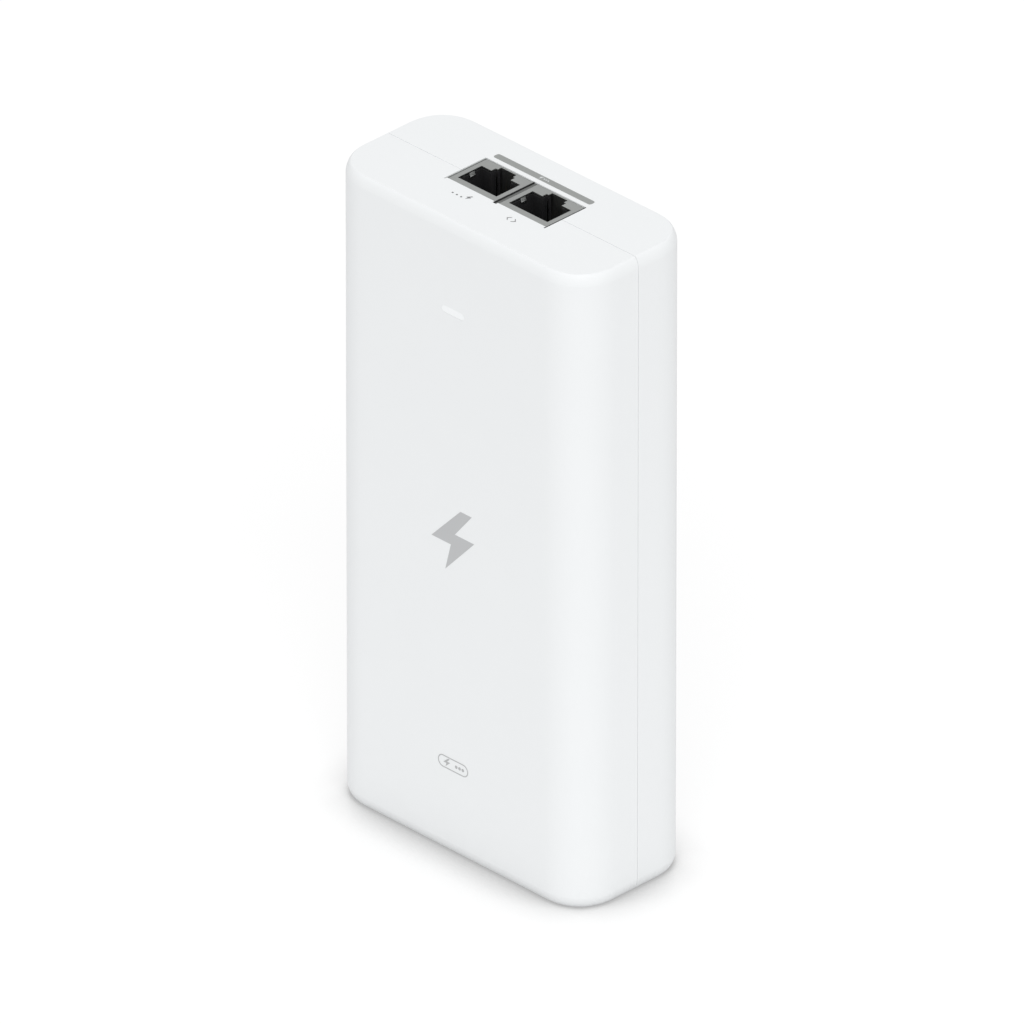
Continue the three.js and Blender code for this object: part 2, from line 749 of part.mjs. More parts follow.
function addSockets() {
  for (const [use, side] of [['poe', -1], ['data', 1]]) {
    const x = socketPairX + side * socketSpacing / 2;
    addPiece(`${use}_jack_shield`, socketShield(x), 0x9c9e9b, 0.35, 1);
    addPiece(`${use}_jack_housing`, socketHousing(x), 0x1c1c1c, 0.5);
    addPiece(`${use}_jack_contacts`, socketContacts(x), 0xc9a24a, 0.25, 1);
  }
}

function addLight() {
  addPiece('light_pipe', lightPipe(), 0xf5f6f7, 0.2);
  addPiece('status_led', statusLed(), 0xf4efd8, 0.3);
}

function addInlet() {
  addPiece('inlet_housing', inletHousing(), 0x1d1d1d, 0.5);
  const leadColors = { line: 0x6b4226, neutral: 0x2f5fb0, earth: 0x4f9a3c };
  for (const [name, place] of Object.entries(pinPlaces())) {
    addPiece(`inlet_pin_${name}`, inletPin(place), 0xc4c6c8, 0.25, 1);
    addPiece(`${name}_lead`, lead(place), leadColors[name], 0.5);
  }
}

function addBoard() {
  addPiece('main_board', mainBoard(), 0x1f5a38, 0.55);
  addPiece('insulation_sheet', insulationSheet(), 0xe8e4d4, 0.5);
  screwPlaces().forEach((place, n) => {
    addPiece(`board_screw_${n + 1}`, boardScrew(place), 0xb8babd, 0.3, 1);
  });
}

function addMainsParts() {
  const place = partPlaces();
  addPiece('fuse', chamferedBlock(place.fuse, fuse), 0x2b2b2b, 0.5);
  addPiece('varistor', discOnLegs(place.varistor, varistor), 0x2c58a8, 0.4);
  addPiece('film_capacitor', onBoard(...place.film_capacitor, filmCapacitor), 0xd9b53a, 0.5);
  addPiece('choke_core', chokeRing(place.choke, 0), 0x3a4b3e, 0.6);
  addPiece('choke_winding_line', chokeWinding(place.choke, -1), 0xb06a34, 0.35, 0.6);
  addPiece('choke_winding_neutral', chokeWinding(place.choke, 1), 0xb06a34, 0.35, 0.6);
  addPiece('bridge_rectifier', chamferedBlock(place.bridge, bridge), 0x242424, 0.5);
  addPiece('bulk_capacitor', lyingCapacitor(place.bulk_capacitor), 0x23252c, 0.4);
  addPiece('primary_heatsink', heatSink(place.primary_sink, primarySink), 0xc2c4c6, 0.4, 1);
  addPiece('switching_transistor', powerPart(place.primary_sink, primarySink), 0x262626, 0.5);
}

function addTransformer() {
  const place = partPlaces();
  addPiece('transformer_core', transformerCore(place.transformer), 0x3b3a3a, 0.6);
  addPiece('transformer_bobbin', transformerBobbin(place.transformer), 0x2a2a2a, 0.5);
  addPiece('transformer_winding', transformerWinding(place.transformer), 0xe0bf4c, 0.4);
  addPiece('safety_capacitor', discOnLegs(place.safety_capacitor, safetyCapacitor), 0x3c74b8, 0.4);
  addPiece('optocoupler', chamferedBlock(place.optocoupler, optocoupler), 0xe9e7df, 0.5);
  addPiece('controller_chip', chamferedBlock(place.controller, controllerChip), 0x202020, 0.5);
}

function addOutputParts() {
  const place = partPlaces();
  addPiece('output_heatsink', heatSink(place.output_sink, outputSink), 0xc2c4c6, 0.4, 1);
  addPiece('output_rectifier', powerPart(place.output_sink, outputSink), 0x262626, 0.5);
  for (let n = 0; n < outputCapacitorCount; n += 1) {
    addPiece(`output_capacitor_${n + 1}`, standingCapacitor(place[`output_${n}`]), 0x2c2f3a, 0.4);
  }
  addPiece('output_choke', drumChoke(place.output_choke), 0x35363a, 0.6);
  addPiece('poe_lan_transformer', chamferedBlock(place.lan_poe, lanTransformer), 0x212121, 0.5);
  addPiece('data_lan_transformer', chamferedBlock(place.lan_data, lanTransformer), 0x212121, 0.5);
  addPiece('supply_controller', chamferedBlock(place.supply, supplyChip), 0x1f1f1f, 0.5);
}

addCase();
addSockets();
addLight();
addInlet();
addBoard();
addMainsParts();
addTransformer();
addOutputParts();

export default injector;
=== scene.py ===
import json
import math
import bmesh
import bpy
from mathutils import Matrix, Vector


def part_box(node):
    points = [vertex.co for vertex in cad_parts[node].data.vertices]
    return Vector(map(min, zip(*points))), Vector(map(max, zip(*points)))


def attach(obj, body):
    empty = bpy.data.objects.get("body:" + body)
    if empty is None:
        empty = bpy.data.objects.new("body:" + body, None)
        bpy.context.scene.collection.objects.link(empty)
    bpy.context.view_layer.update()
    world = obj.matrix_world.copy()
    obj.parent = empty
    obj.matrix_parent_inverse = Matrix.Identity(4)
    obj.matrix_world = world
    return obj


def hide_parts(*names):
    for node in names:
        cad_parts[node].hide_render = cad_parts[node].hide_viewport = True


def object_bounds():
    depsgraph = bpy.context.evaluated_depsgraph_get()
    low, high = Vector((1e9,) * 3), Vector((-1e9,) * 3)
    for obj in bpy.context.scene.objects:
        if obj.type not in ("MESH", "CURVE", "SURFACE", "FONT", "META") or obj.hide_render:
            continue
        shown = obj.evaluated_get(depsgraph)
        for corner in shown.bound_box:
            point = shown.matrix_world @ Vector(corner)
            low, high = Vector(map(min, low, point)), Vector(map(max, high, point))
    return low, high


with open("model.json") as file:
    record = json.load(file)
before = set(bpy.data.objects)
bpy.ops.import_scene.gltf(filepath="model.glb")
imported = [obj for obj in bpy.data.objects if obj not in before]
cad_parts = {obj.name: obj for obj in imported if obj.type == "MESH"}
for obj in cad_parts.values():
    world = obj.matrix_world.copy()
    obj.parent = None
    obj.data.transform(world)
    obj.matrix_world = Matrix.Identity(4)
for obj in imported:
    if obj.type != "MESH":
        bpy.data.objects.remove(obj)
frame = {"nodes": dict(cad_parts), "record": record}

mm = 0.001
cadLow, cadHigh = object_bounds()  # the box of the CAD model, before anything is added
width, depth, height = cadHigh - cadLow
print("frame loaded,", len(frame["nodes"]), "nodes")


# camera, floor and light

bpy.context.scene.view_settings.view_transform = "Standard"
camera = {"azimuth": 45.25, "elevation": 30.17, "lens": 1336.0, "distance": 8.461,
          "right": 0.18 * mm, "down": 0.154 * mm}
# the floor glows so that it stays white; its contact keys set a painted contact shadow and its pool keys a
# painted falloff of light
floor = {"radius": 1.3, "sides": 96, "white": 0.35, "glow": 0.580, "rough": 0.22,
         "contactReach": 18 * mm, "contactDepth": 0.40, "contactPower": 3.0, "contactMost": 0.48,
         "contactRays": 8, "poolRadius": 0.42, "poolFade": 0.30, "poolDepth": 0.34}
sky = {"above": 0.91, "below": 0.72}
keyLight = {"azimuth": 47.5, "elevation": 44.0, "distance": 4.0, "size": 2.1, "power": 61.5}


def directionTo(azimuth, elevation):
    a, e = math.radians(azimuth), math.radians(elevation)
    return Vector((math.sin(a) * math.cos(e), -math.cos(a) * math.cos(e), math.sin(e)))


def addCamera():
    lens = bpy.data.cameras.new("camera")
    lens.lens = camera["lens"]
    lens.clip_start, lens.clip_end = 1.0, 20.0
    cam = bpy.data.objects.new("camera", lens)
    bpy.context.scene.collection.objects.link(cam)
    back = directionTo(camera["azimuth"], camera["elevation"])
    cam.rotation_mode = "QUATERNION"
    cam.rotation_quaternion = (-back).to_track_quat("-Z", "Y")
    across = cam.rotation_quaternion @ Vector((camera["right"], -camera["down"], 0))
    cam.location = Vector((0, 0, height / 2)) + back * camera["distance"] + across
    bpy.context.scene.camera = cam


def addKeyLight():
    lamp = bpy.data.lights.new("keyLight", "AREA")
    lamp.shape = "SQUARE"
    lamp.size = keyLight["size"]
    lamp.energy = keyLight["power"]
    key = bpy.data.objects.new("keyLight", lamp)
    bpy.context.scene.collection.objects.link(key)
    toLight = directionTo(keyLight["azimuth"], keyLight["elevation"])
    key.location = Vector((0, 0, height / 2)) + toLight * keyLight["distance"]
    key.rotation_mode = "QUATERNION"
    key.rotation_quaternion = (-toLight).to_track_quat("-Z", "Y")


# shader maths: a Wire is a socket that can be added, multiplied and so on

class Wire:
    def __init__(self, tree, socket):
        self.tree, self.socket = tree, socket

    def node(self, kind, settings=None, inputs=None, output=0):
        made = self.tree.nodes.new(kind)
        for name, value in (settings or {}).items():
            if name == "stops":
                ramp = made.color_ramp.elements
                while len(ramp) < len(value):
                    ramp.new(0.5)
                for stop, (place, colour) in zip(ramp, value):
                    stop.position, stop.color = place, colour
            else:
                setattr(made, name, value)
        for name, value in (inputs or {}).items():
            if isinstance(value, Wire):
                self.tree.links.new(value.socket, made.inputs[name])
            else:
                made.inputs[name].default_value = value
        return Wire(self.tree, made.outputs[output])

    def maths(self, operation, a, b=0.0):
        return self.node("ShaderNodeMath", {"operation": operation}, {0: a, 1: b})

    def __add__(self, other):
        return self.maths("ADD", self, other)

    def __radd__(self, other):
        return self.maths("ADD", other, self)

    def __sub__(self, other):
        return self.maths("SUBTRACT", self, other)

    def __rsub__(self, other):
        return self.maths("SUBTRACT", other, self)

    def __mul__(self, other):
        return self.maths("MULTIPLY", self, other)

    def __rmul__(self, other):
        return self.maths("MULTIPLY", other, self)

    def __truediv__(self, other):
        return self.maths("DIVIDE", self, other)

    def __rtruediv__(self, other):
        return self.maths("DIVIDE", other, self)

    def __pow__(self, other):
        return self.maths("POWER", self, other)

    def __rpow__(self, other):
        return self.maths("POWER", other, self)

    def least(self, other):
        return self.maths("MINIMUM", self, other)

    def most(self, other):
        return self.maths("MAXIMUM", self, other)

    def blend(self, dark, light):  # this value picks between two colours
        return self.node("ShaderNodeMix", {"data_type": "RGBA"},
                         {"Factor": self, 6: (*dark, 1), 7: (*light, 1)}, 2)


def paint(name, constants):
    made = bpy.data.materials.new(name)
    made.use_nodes = True
    tree = made.node_tree
    shader = tree.nodes["Principled BSDF"]
    for socket, value in constants.items():
        shader.inputs[socket].default_value = value
    place = Wire(tree, None).node("ShaderNodeTexCoord", output="Object")
    return made, shader, place


def feed(shader, **wires):
    for name, wire in wires.items():
        wire.tree.links.new(wire.socket, shader.inputs[name.replace("_", " ")])


def grain(place, size, detail=2.0, roughness=0.5):
    return place.node("ShaderNodeTexNoise", {}, {
        "Vector": place, "Scale": 1 / size, "Detail": detail, "Roughness": roughness})


def raised(place, relief, depthOfRelief):
    return place.node("ShaderNodeBump", {}, {"Strength": 1.0, "Distance": depthOfRelief, "Height": relief})


def addSky():
    world = bpy.data.worlds.new("studio")
    bpy.context.scene.world = world
    world.use_nodes = True
    tree = world.node_tree
    way = Wire(tree, None).node("ShaderNodeTexCoord", output="Generated")
    up = way.node("ShaderNodeSeparateXYZ", {}, {"Vector": way}, "Z")
    overHorizon = up.maths("GREATER_THAN", up, 0.0)
    strength = sky["below"] + overHorizon * (sky["above"] - sky["below"])
    tree.links.new(strength.socket, tree.nodes["Background"].inputs["Strength"])
    tree.nodes["Background"].inputs["Color"].default_value = (1, 1, 1, 1)


def addFloor():
    mesh = bpy.data.meshes.new("floor")
    sides = floor["sides"]
    angles = [2 * math.pi * n / sides for n in range(sides)]
    mesh.from_pydata([(floor["radius"] * math.cos(a), floor["radius"] * math.sin(a), 0) for a in angles],
                     [], [range(sides)])
    ground = bpy.data.objects.new("floor", mesh)
    bpy.context.scene.collection.objects.link(ground)
    made, shader, place = paint("floorPaintedShadow", {"Roughness": floor["rough"],
                                               "Emission Strength": floor["glow"]})
    # painted shadow: an occlusion mask darkens the floor's colour and glow near the object, as a painted
    # contact shadow
    openness = place.node("ShaderNodeAmbientOcclusion", {"samples": floor["contactRays"]},
                          {"Distance": floor["contactReach"]}, "AO")
    beside = (1 - openness) * 2  # 1 where a wall hides half of the sky
    shade = (beside ** floor["contactPower"] * floor["contactDepth"]).least(floor["contactMost"])
    away = place.node("ShaderNodeVectorMath", {"operation": "LENGTH"}, {0: place}, "Value")
    fade = (away - floor["poolRadius"]) / floor["poolFade"]  # painted falloff of light: the floor's colour and glow darken away from the middle
    fade = fade.most(0.0).least(1.0) * floor["poolDepth"]
    dark = 1 - (1 - shade) * (1 - fade)
    feed(shader, Base_Color=dark.blend((floor["white"],) * 3, (0, 0, 0)),
         Emission_Color=dark.blend((1, 1, 1), (0, 0, 0)))
    ground.data.materials.append(made)


addCamera()
addKeyLight()
addSky()
addFloor()
print("camera, light and floor set")


# mesh helpers: sizes are in millimetres, and solids are closed

def boxOf(node):
    low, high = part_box(node)
    return low / mm, high / mm


def link(name, mesh):
    piece = bpy.data.objects.new(name, mesh)
    bpy.context.scene.collection.objects.link(piece)
    return piece


def solid(name, vertices, faces):
    mesh = bpy.data.meshes.new(name)
    mesh.from_pydata([Vector(v) * mm for v in vertices], [], faces)
    shape = bmesh.new()
    shape.from_mesh(mesh)
    bmesh.ops.recalc_face_normals(shape, faces=shape.faces)
    shape.to_mesh(mesh)
    shape.free()
    return link(name, mesh)


def loft(name, rings):  # rings of equal length, joined in order and closed at both ends
    count = len(rings[0])
    vertices = [v for ring in rings for v in ring]
    faces = [range(count), range(len(vertices) - count, len(vertices))]
    for a in range(0, len(vertices) - count, count):
        b = a + count
        faces += [(a + n, a + (n + 1) % count, b + (n + 1) % count, b + n) for n in range(count)]
    return solid(name, vertices, faces)


def ring(outline, axis, along):  # a flat outline set across an axis
    if axis == "x":
        return [(along, u, v) for u, v in outline]
    if axis == "y":
        return [(u, along, v) for u, v in outline]
    return [(u, v, along) for u, v in outline]


def prism(name, outline, axis, low, high):
    return loft(name, [ring(outline, axis, low), ring(outline, axis, high)])


def roundedBox(low, high, radius, steps=6):
    left, right = low[0] + radius, high[0] - radius
    near, far = low[1] + radius, high[1] - radius
    points = []
    for turn, (u, v) in enumerate([(right, far), (left, far), (left, near), (right, near)]):
        for step in range(steps + 1):
            angle = (turn + step / steps) * math.pi / 2
            points.append((u + radius * math.cos(angle), v + radius * math.sin(angle)))
    return points


def pill(middle, length, thickness, steps=10):
    (u, v), a, b = middle, length / 2, thickness / 2
    return roundedBox((u - a, v - b), (u + a, v + b), b - 0.001, steps)  # so the ends keep a tiny flat


def disc(middle, radius, steps=20):
    return [(middle[0] + radius * math.cos(2 * math.pi * n / steps),
             middle[1] + radius * math.sin(2 * math.pi * n / steps)) for n in range(steps)]


def block(name, low, high):
    return prism(name, [(low[0], low[1]), (high[0], low[1]), (high[0], high[1]), (low[0], high[1])],
                 "z", low[2], high[2])


def settle(piece):  # bakes the modifiers into the mesh
    graph = bpy.context.evaluated_depsgraph_get()
    before = piece.data
    after = bpy.data.meshes.new_from_object(piece.evaluated_get(graph),
                                            preserve_all_data_layers=True, depsgraph=graph)
    piece.modifiers.clear()
    piece.data = after
    after.name = before.name
    bpy.data.meshes.remove(before)
    return piece


def combine(piece, operation, *others):
    for other in others:
        step = piece.modifiers.new(operation, "BOOLEAN")
        step.operation, step.solver, step.object = operation, "EXACT", other
    settle(piece)
    for other in others:
        bpy.data.objects.remove(other)
    return piece


def cut(piece, *tools):
    return combine(piece, "DIFFERENCE", *tools)


def join(piece, *others):
    return combine(piece, "UNION", *others)


def gather(piece, *others):  # loose parts of one piece
    shape = bmesh.new()
    for part in (piece, *others):
        shape.from_mesh(part.data)
    shape.to_mesh(piece.data)
    shape.free()
    for other in others:
        bpy.data.objects.remove(other)
    return piece


def soften(piece, radius, segments=3, pick=None, angle=35):  # rounds picked edges, or all the sharp ones
    if pick:
        weights = piece.data.attributes.new("bevel_weight_edge", "FLOAT", "EDGE")
        for edge in piece.data.edges:
            a, b = (piece.data.vertices[n].co / mm for n in edge.vertices)
            weights.data[edge.index].value = float(pick(a, b))
    bevel = piece.modifiers.new("edges", "BEVEL")
    bevel.width, bevel.segments = radius * mm, segments
    bevel.limit_method = "WEIGHT" if pick else "ANGLE"
    bevel.angle_limit = math.radians(angle)
    settle(piece)
    if pick and "bevel_weight_edge" in piece.data.attributes:
        piece.data.attributes.remove(piece.data.attributes["bevel_weight_edge"])
    return piece


def finish(piece, slot, material, *nodes, angle=38):  # shading, finish, and the place in the frame
    piece.data.shade_smooth()
    piece.data.set_sharp_from_angle(angle=math.radians(angle))
    weighted = piece.modifiers.new("normals", "WEIGHTED_NORMAL")
    weighted.keep_sharp = True
    settle(piece)
    piece.data.materials.clear()
    piece.data.materials.append(material)
    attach(piece, "root")
    if nodes:
        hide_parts(*nodes)
    return piece


# finishes

casePlastic = {"colour": (0.758, 0.772, 0.780), "rough": 0.50, "grain": 0.32, "relief": 0.004,
               "mottle": 0.006, "edgeShine": 0.07, "edgeReach": 3.0}
plastics = {  # colour, roughness, size of the grain, its relief, how much the colour varies
    "inlet_black": ((0.018, 0.018, 0.019), 0.48, 0.30, 0.012, 0.15),
    "socket_black": ((0.012, 0.012, 0.013), 0.55, 0.22, 0.010, 0.15),
    "sheet_cream": ((0.80, 0.77, 0.66), 0.50, 0.60, 0.006, 0.04),
    "moulded_black": ((0.020, 0.020, 0.021), 0.52, 0.18, 0.014, 0.20),
    "moulded_white": ((0.78, 0.77, 0.72), 0.45, 0.20, 0.010, 0.05),
    "disc_blue": ((0.030, 0.105, 0.400), 0.35, 0.50, 0.020, 0.12),
    "sleeve_dark": ((0.020, 0.023, 0.034), 0.30, 0.70, 0.006, 0.12),
    "lead_brown": ((0.140, 0.055, 0.020), 0.42, 0.40, 0.008, 0.12),
    "lead_blue": ((0.030, 0.110, 0.440), 0.42, 0.40, 0.008, 0.12),
    "lead_green": ((0.080, 0.300, 0.050), 0.42, 0.40, 0.008, 0.12),
    "led_yellow": ((0.890, 0.800, 0.550), 0.25, 0.40, 0.003, 0.05),
    "ferrite": ((0.042, 0.042, 0.041), 0.62, 0.25, 0.030, 0.25),
}
metals = {  # colour, roughness, size of the marks, their relief, how far they are drawn out along Z
    "socket_metal": ((0.365, 0.376, 0.368), 0.36, 0.10, 0.0015, 14.0),
    "contact_gold": ((0.790, 0.530, 0.200), 0.22, 0.08, 0.0010, 8.0),
    "pin_metal": ((0.610, 0.605, 0.590), 0.24, 0.12, 0.0020, 10.0),
    "screw_steel": ((0.560, 0.565, 0.570), 0.30, 0.10, 0.0030, 1.0),
    "heatsink_metal": ((0.660, 0.665, 0.670), 0.38, 0.20, 0.0060, 18.0),
}
# painted shade: a darker copy of socket_metal for the data socket's fold, which stands in shade between the
# two sockets
shadedMetal = ((0.190, 0.197, 0.192), 0.45, 0.10, 0.0020, 10.0)


def shades(colour, variation):
    return tuple(c * (1 - variation) for c in colour), tuple(min(1.0, c * (1 + variation)) for c in colour)


def stretched(place, x, y, z):
    return place.node("ShaderNodeMapping", {"vector_type": "POINT"}, {"Vector": place, "Scale": (x, y, z)})


def caseWhite():
    made, shader, place = paint("caseWhite", {"IOR": 1.49, "Specular IOR Level": 0.28})
    zone = place.node("ShaderNodeSeparateXYZ", {}, {"Vector": place}, "Z")
    fromEnd = zone.least(height - zone) / (casePlastic["edgeReach"] * mm)
    nearEnd = 1 - fromEnd.least(1.0)  # 1 on the ends, where hands polish the grain
    fine = grain(place, casePlastic["grain"] * mm, 3.0)
    broad = grain(place, 14 * mm, 2.0)
    scuffs = grain(stretched(place, 1, 0.35, 0.12), 1.2 * mm, 5.0)
    polished = nearEnd * broad * casePlastic["edgeShine"]
    feed(shader,
         Base_Color=broad.blend(*shades(casePlastic["colour"], casePlastic["mottle"])),
         Roughness=casePlastic["rough"] + (fine - 0.5) * 0.10 + (scuffs - 0.5) * 0.05 - polished,
         Normal=raised(place, fine + scuffs * 0.15, casePlastic["relief"] * mm))
    return made


def plastic(name, colour, rough, size, relief, variation):
    made, shader, place = paint(name, {})
    fine = grain(place, size * mm, 3.0)
    broad = grain(place, 6 * mm, 2.0)
    feed(shader, Base_Color=(broad * 0.7 + fine * 0.3).blend(*shades(colour, variation)),
         Roughness=rough + (fine - 0.5) * 0.16 + (broad - 0.5) * 0.08,
         Normal=raised(place, fine, relief * mm))
    return made


def metal(name, colour, rough, size, relief, drawn):
    made, shader, place = paint(name, {"Metallic": 1.0})
    marks = grain(stretched(place, 1, 1, 1 / drawn), size * mm, 4.0)
    broad = grain(place, 3 * mm, 2.0)
    feed(shader, Base_Color=(broad * 0.6 + marks * 0.4).blend(*shades(colour, 0.07)),
         Roughness=rough + (marks - 0.5) * 0.12 + (broad - 0.5) * 0.10,
         Normal=raised(place, marks, relief * mm))
    return made


def windowMilk():  # a milky window with a faint painted glow, though no lamp is behind it
    made, shader, place = paint("windowMilk", {"IOR": 1.49, "Emission Strength": 0.005})
    cloud = grain(place, 1.6 * mm, 2.0)
    feed(shader, Base_Color=cloud.blend((0.800, 0.817, 0.827), (0.822, 0.838, 0.847)),
         # painted glow: the emission makes the window glow faintly though it is no lamp
         Emission_Color=cloud.blend((0.9, 0.95, 1.0), (1, 1, 1)),
         Roughness=0.26 + cloud * 0.06, Normal=raised(place, grain(place, 0.4 * mm), 0.001 * mm))
    return made


def ink(name, colour, rough):
    made, shader, place = paint(name, {})
    screen = grain(place, 0.12 * mm, 2.0)
    feed(shader, Base_Color=screen.blend(*shades(colour, 0.03)), Roughness=rough + (screen - 0.5) * 0.12,
         Normal=raised(place, screen, 0.003 * mm))
    return made


def labelFilm():  # a matt film whose fine fibres catch the light
    made, shader, place = paint("labelFilm", {})
    fibres = grain(stretched(place, 0.3, 1, 1), 0.25 * mm, 4.0)
    feed(shader, Base_Color=fibres.blend((0.735, 0.740, 0.745), (0.775, 0.780, 0.785)),
         Roughness=0.52 + (fibres - 0.5) * 0.14, Normal=raised(place, fibres, 0.006 * mm))
    return made


def boardGreen():  # solder mask over tracks and a woven base
    made, shader, place = paint("boardGreen", {"IOR": 1.5})
    weave = place.node("ShaderNodeTexWave", {"wave_type": "BANDS", "bands_direction": "DIAGONAL"},
                       {"Vector": place, "Scale": 0.35 / mm, "Distortion": 1.5})
    upright = place.node("ShaderNodeVectorRotate", {"rotation_type": "X_AXIS"},
                         {"Vector": place, "Angle": math.pi / 2})
    tracks = place.node("ShaderNodeTexBrick", {"offset": 0.37, "squash": 1.6},
                        {"Vector": upright, "Scale": 0.16 / mm, "Mortar Size": 0.03}, "Fac")
    feed(shader, Base_Color=(weave * 0.4 + tracks * 0.6).blend((0.012, 0.085, 0.035), (0.030, 0.160, 0.070)),
         Roughness=0.34 + weave * 0.12, Normal=raised(place, tracks + weave * 0.2, 0.03 * mm))
    return made


def windingCopper():  # enamelled turns side by side
    made, shader, place = paint("windingCopper", {"Metallic": 0.7, "Coat Weight": 0.4,
                                                  "Coat Roughness": 0.15})
    turns = place.node("ShaderNodeTexWave", {"wave_type": "BANDS", "bands_direction": "Z"},
                       {"Vector": place, "Scale": 0.32 / mm, "Distortion": 0.6, "Detail": 1.0})
    feed(shader, Base_Color=turns.blend((0.200, 0.070, 0.020), (0.620, 0.260, 0.080)),
         Roughness=0.45 - turns * 0.2, Normal=raised(place, turns, 0.25 * mm))
    return made


def woundFilm(name, colour):  # faint laps and a soft gloss
    made, shader, place = paint(name, {})
    laps = place.node("ShaderNodeTexWave", {"wave_type": "BANDS", "bands_direction": "X"},
                      {"Vector": place, "Scale": 0.09 / mm, "Distortion": 0.8, "Detail": 2.0})
    cloud = grain(place, 2.5 * mm, 3.0)
    feed(shader, Base_Color=(laps * 0.5 + cloud * 0.5).blend(*shades(colour, 0.10)),
         Roughness=0.30 + cloud * 0.15, Normal=raised(place, laps, 0.05 * mm))
    return made


finishes = {slot: plastic(slot, *values) for slot, values in plastics.items()}
finishes.update({slot: metal(slot, *values) for slot, values in metals.items()})
finishes.update({
    "case_white": caseWhite(), "light_window": windowMilk(), "label_film": labelFilm(),
    "board_green": boardGreen(), "winding_copper": windingCopper(),
    "tape_yellow": woundFilm("tapeYellow", (0.700, 0.480, 0.070)),
    "film_yellow": woundFilm("filmYellow", (0.680, 0.430, 0.050)),
})
print("finishes made:", len(finishes))


# case: two halves with a tongue between them, and the openings that the other pieces need

bodyX, bodyY, bodyZ = width / mm, depth / mm, height / mm
close = 0.004  # a point this near a plane counts as being on it
past = 8.0  # a cutting tool reaches this far past the surface
case = {"cornerRadius": 11.55, "cornerPower": 2.23, "cornerSteps": 22,
        "endInset": 1.22, "endRise": 2.9, "endPower": 1.6, "endSteps": 12,
        "sideWall": 2.2, "endWall": 2.4, "seam": 0.06, "seamRound": 0.07,
        "mouthRound": 0.12, "mouthReach": 1.5,
        "tongue": 0.8, "tongueReach": 1.5, "tongueRoom": 0.1}
socket = {"gap": 0.06, "sheet": 0.4, "corner": 0.35, "lip": 1.6,
          "plugWidth": 12.1, "plugHeight": 7.4, "plugFromFront": 1.95, "plugDepth": 14.5, "plugRound": 0.05,
          "latchWidth": 6.1, "latchHeight": 1.4, "tipWidth": 4.8, "tipHeight": 1.1,
          "rim": [(0, 0.14), (0.02, 0.07), (0.06, 0.02), (0.14, 0)]}  # how far in, and how far down
edges = {"leafGap": 0.06, "leafWidth": {"poe": 0.24, "data": 0.78}, "leafSink": {"poe": 0.0, "data": 0.08},
         "leafRound": 0.04, "fin": {"poe": 0.20, "data": 0.36}, "finGap": 0.02, "finRise": 0.13,
         "finRound": 0.03, "nose": 0.66, "nickOverlap": 0.5, "tall": 5.0,
         "corner": 0.1}  # what stands beside each shield
inlet = {"overhang": 2.0, "gap": 0.12, "wall": 1.3, "chamfer": 4.6, "depth": 16.2, "round": 0.35,
         "corner": 0.8, "cavityCorner": 0.6, "collarGap": 0.3, "collar": 2.0, "pinGap": 0.1}
window = {"width": 7.0, "height": 1.75, "gap": 0.015, "round": 0.06, "roundSteps": 5, "holeRound": 0.25,
          "flange": 1.0, "flangeGap": 0.3, "flangeWider": 0.6, "stem": 3.2, "stemRoom": 0.1, "overlap": 0.5}
label = {"radius": 2.5, "room": 0.15, "rim": [(0, 0.08), (0.03, 0.02), (0.08, 0)],
         "border": 1.6, "borderOuter": 1.4, "borderInner": 1.2, "line": 0.22, "rules": 4, "ruleInset": 4.0,
         "ruleRound": 0.05, "thick": 0.04, "bolt": (6.0, 1.1), "grey": (0.36, 0.365, 0.37)}
socketLow, socketHigh = boxOf("poe_jack_shield")
dataLow, dataHigh = boxOf("data_jack_shield")
windowLow, windowHigh = boxOf("light_pipe")
inletLow, inletHigh = boxOf("inlet_housing")
labelLow, labelHigh = boxOf("rating_label")
windowMiddle = (0.0, (windowLow.z + windowHigh.z) / 2)


def caseOutline(inset):
    radius, bend = case["cornerRadius"] - inset, 2 / case["cornerPower"]
    x, y = bodyX / 2 - case["cornerRadius"], bodyY / 2 - case["cornerRadius"]
    points = []
    for turn, (sx, sy) in enumerate([(1, 1), (-1, 1), (-1, -1), (1, -1)]):
        for step in range(case["cornerSteps"] + 1):
            along = (case["cornerSteps"] - step if turn % 2 else step) / case["cornerSteps"]
            angle = along * math.pi / 2
            points.append((sx * (x + radius * max(0.0, math.cos(angle)) ** bend),
                           sy * (y + radius * math.sin(angle) ** bend)))
    return points


def caseBody():
    levels, bend = [], 2 / case["endPower"]
    for step in range(case["endSteps"] + 1):
        angle = step / case["endSteps"] * math.pi / 2
        out, up = (max(0.0, part) ** bend for part in (math.sin(angle), math.cos(angle)))
        levels.append((case["endInset"] * (1 - out), case["endRise"] * (1 - up)))
    low = [ring(caseOutline(inset), "z", rise) for inset, rise in levels]
    high = [ring(caseOutline(inset), "z", bodyZ - rise) for inset, rise in reversed(levels)]
    return loft("caseBody", low + high)


def caseInside(extra):
    floorZ = case["endWall"] - extra
    return prism("caseInside", caseOutline(case["sideWall"] - extra), "z", floorZ, bodyZ - floorZ)


def slab(y0, y1):
    return block("slab", (-bodyX, y0, -bodyZ), (bodyX, y1, 2 * bodyZ))


def onSeam(y):  # the outer edges of a half, where it meets the other one
    side, end = bodyX / 2 - case["sideWall"] / 2, case["endWall"] / 2

    def pick(a, b):
        outer = all(abs(p.x) > side or not end < p.z < bodyZ - end for p in (a, b))
        return outer and abs(a.y - y) < close and abs(b.y - y) < close
    return pick


def around(p, low, high):
    reach = case["mouthReach"]
    return low[0] - reach < p[0] < high[0] + reach and low[1] - reach < p[1] < high[1] + reach


